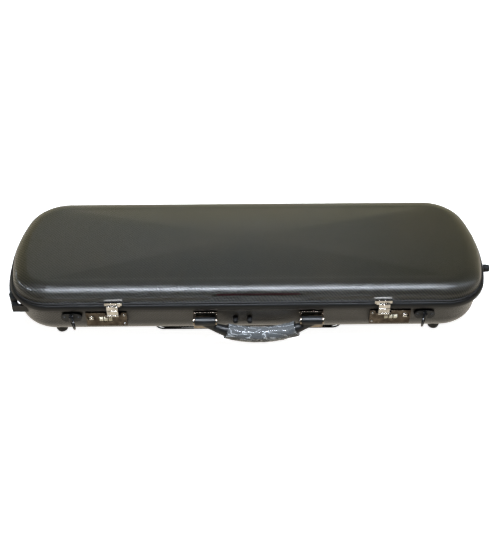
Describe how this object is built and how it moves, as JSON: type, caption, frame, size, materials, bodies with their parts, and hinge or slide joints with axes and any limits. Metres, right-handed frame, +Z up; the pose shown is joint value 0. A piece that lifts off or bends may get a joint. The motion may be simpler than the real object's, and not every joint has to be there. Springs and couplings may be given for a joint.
{
  "type": "violin case",
  "caption": "Oblong hard violin case with a hinged domed lid, combination latches, a carrying handle and a lined interior.",
  "frame": {"origin": "on the floor under the middle of the base cushion, which is the middle of the case's outline", "axes": "+X along the case towards the wide end of the violin, +Y towards the hinges, +Z up"},
  "size_m": [0.8249, 0.303, 0.1174],
  "materials": {
    "shell": "woven-look, gloss",
    "rim": "satin black",
    "black_rubber": "matt",
    "black_plastic": "satin black",
    "plush": "wine plush",
    "webbing": "woven black",
    "chrome": "polished",
    "lock_plate": "polished, warm reflections",
    "steel": "bright",
    "dial": "ivory",
    "film": "clear crinkled film",
    "brass": "polished",
    "wood": "varnished",
    "black_steel": "black enamel"
  },
  "bodies": {
    "case": {"base_shell": "shell", "base_rim": "rim", "rim_seal": "black_rubber", "base_insert": "plush", "neck_cradle": "plush", "neck_strap": "webbing", "accessory_tray": "black_plastic", "string_tube": "black_plastic", "hygrometer": "brass", "back_cushion": "webbing", "base_feet": "black_rubber", "spine_feet": "black_rubber", "end_feet": "black_rubber", "base_hinge_leaves": "black_steel", "hinge_pins": "steel", "handle_brackets": "chrome", "handle_pins": "steel", "handle_buffers": "black_rubber", "ring_plates": "black_plastic", "lock_body_left": "lock_plate", "lock_body_right": "lock_plate", "dial_axles": "steel", "hasp_pins": "steel", "latch_rivets": "steel", "side_posts": "black_plastic", "tray_lid_pin": "steel", "tray_lid": "plush", "tray_tab": "webbing"},
    "lid": {"lid_shell": "shell", "lid_edge": "rim", "lid_liner": "plush", "lid_hinge_leaves": "black_steel", "catch_left": "chrome", "catch_right": "chrome", "bow_rails": "wood", "bow_sleeves": "plush"},
    "front_clip": {"bow_clip_front": "wood"},
    "back_clip": {"bow_clip_back": "wood"},
    "left_hasp": {"hasp_left": "chrome"},
    "right_hasp": {"hasp_right": "chrome"},
    "left_slider": {"slider_left": "chrome"},
    "right_slider": {"slider_right": "chrome"},
    "left_dial_1": {"dial_left_1": "dial"},
    "left_dial_2": {"dial_left_2": "dial"},
    "left_dial_3": {"dial_left_3": "dial"},
    "right_dial_1": {"dial_right_1": "dial"},
    "right_dial_2": {"dial_right_2": "dial"},
    "right_dial_3": {"dial_right_3": "dial"},
    "handle": {"handle_frame": "black_plastic", "handle_grip": "black_rubber", "handle_film": "film"},
    "left_ring": {"strap_ring_left": "black_steel"},
    "right_ring": {"strap_ring_right": "black_steel"},
    "end_strap": {"side_strap": "webbing", "side_strap_ends": "black_plastic"}
  },
  "joints": [
    {"name": "lid_hinge", "type": "hinge", "parent": "case", "child": "lid", "pos_m": [0, 0.1374, 0.08375], "axis": [-1, 0, 0], "range_deg": [0, 100]},
    {"name": "front_clip_turn", "type": "hinge", "parent": "lid", "child": "front_clip", "pos_m": [0.242, -0.045, 0.1], "axis": [0, 0, 1], "range_deg": [-90, 90]},
    {"name": "back_clip_turn", "type": "hinge", "parent": "lid", "child": "back_clip", "pos_m": [0.242, 0.045, 0.1], "axis": [0, 0, 1], "range_deg": [-90, 90]},
    {"name": "left_hasp_hinge", "type": "hinge", "parent": "case", "child": "left_hasp", "pos_m": [-0.218, -0.1366, 0.0666], "axis": [1, 0, 0], "range_deg": [0, 80]},
    {"name": "left_slider_slide", "type": "slide", "parent": "case", "child": "left_slider", "axis": [-1, 0, 0], "range_m": [0, 0.003], "stiffness_N_per_m": 60},
    {"name": "left_dial_1_turn", "type": "hinge", "parent": "case", "child": "left_dial_1", "pos_m": [-0.2385, -0.1286, 0.056], "axis": [1, 0, 0], "continuous": true},
    {"name": "left_dial_2_turn", "type": "hinge", "parent": "case", "child": "left_dial_2", "pos_m": [-0.231, -0.1286, 0.056], "axis": [1, 0, 0], "continuous": true},
    {"name": "left_dial_3_turn", "type": "hinge", "parent": "case", "child": "left_dial_3", "pos_m": [-0.2235, -0.1286, 0.056], "axis": [1, 0, 0], "continuous": true},
    {"name": "right_hasp_hinge", "type": "hinge", "parent": "case", "child": "right_hasp", "pos_m": [0.218, -0.1366, 0.0666], "axis": [1, 0, 0], "range_deg": [0, 80]},
    {"name": "right_slider_slide", "type": "slide", "parent": "case", "child": "right_slider", "axis": [1, 0, 0], "range_m": [0, 0.003], "stiffness_N_per_m": 60},
    {"name": "right_dial_1_turn", "type": "hinge", "parent": "case", "child": "right_dial_1", "pos_m": [0.2235, -0.1286, 0.056], "axis": [1, 0, 0], "continuous": true},
    {"name": "right_dial_2_turn", "type": "hinge", "parent": "case", "child": "right_dial_2", "pos_m": [0.231, -0.1286, 0.056], "axis": [1, 0, 0], "continuous": true},
    {"name": "right_dial_3_turn", "type": "hinge", "parent": "case", "child": "right_dial_3", "pos_m": [0.2385, -0.1286, 0.056], "axis": [1, 0, 0], "continuous": true},
    {"name": "handle_swing", "type": "hinge", "parent": "case", "child": "handle", "pos_m": [0.016, -0.143, 0.058], "axis": [-1, 0, 0], "range_deg": [0, 110]},
    {"name": "left_ring_swing", "type": "hinge", "parent": "case", "child": "left_ring", "pos_m": [-0.287, -0.1346, 0.057], "axis": [0, 0, 1], "range_deg": [-70, 30]},
    {"name": "right_ring_swing", "type": "hinge", "parent": "case", "child": "right_ring", "pos_m": [0.287, -0.1346, 0.057], "axis": [0, 0, 1], "range_deg": [-30, 70]},
    {"name": "end_strap_swing", "type": "hinge", "parent": "case", "child": "end_strap", "pos_m": [-0.38359, 0, 0.057], "axis": [0, -1, 0], "range_deg": [0, 20]}
  ]
}
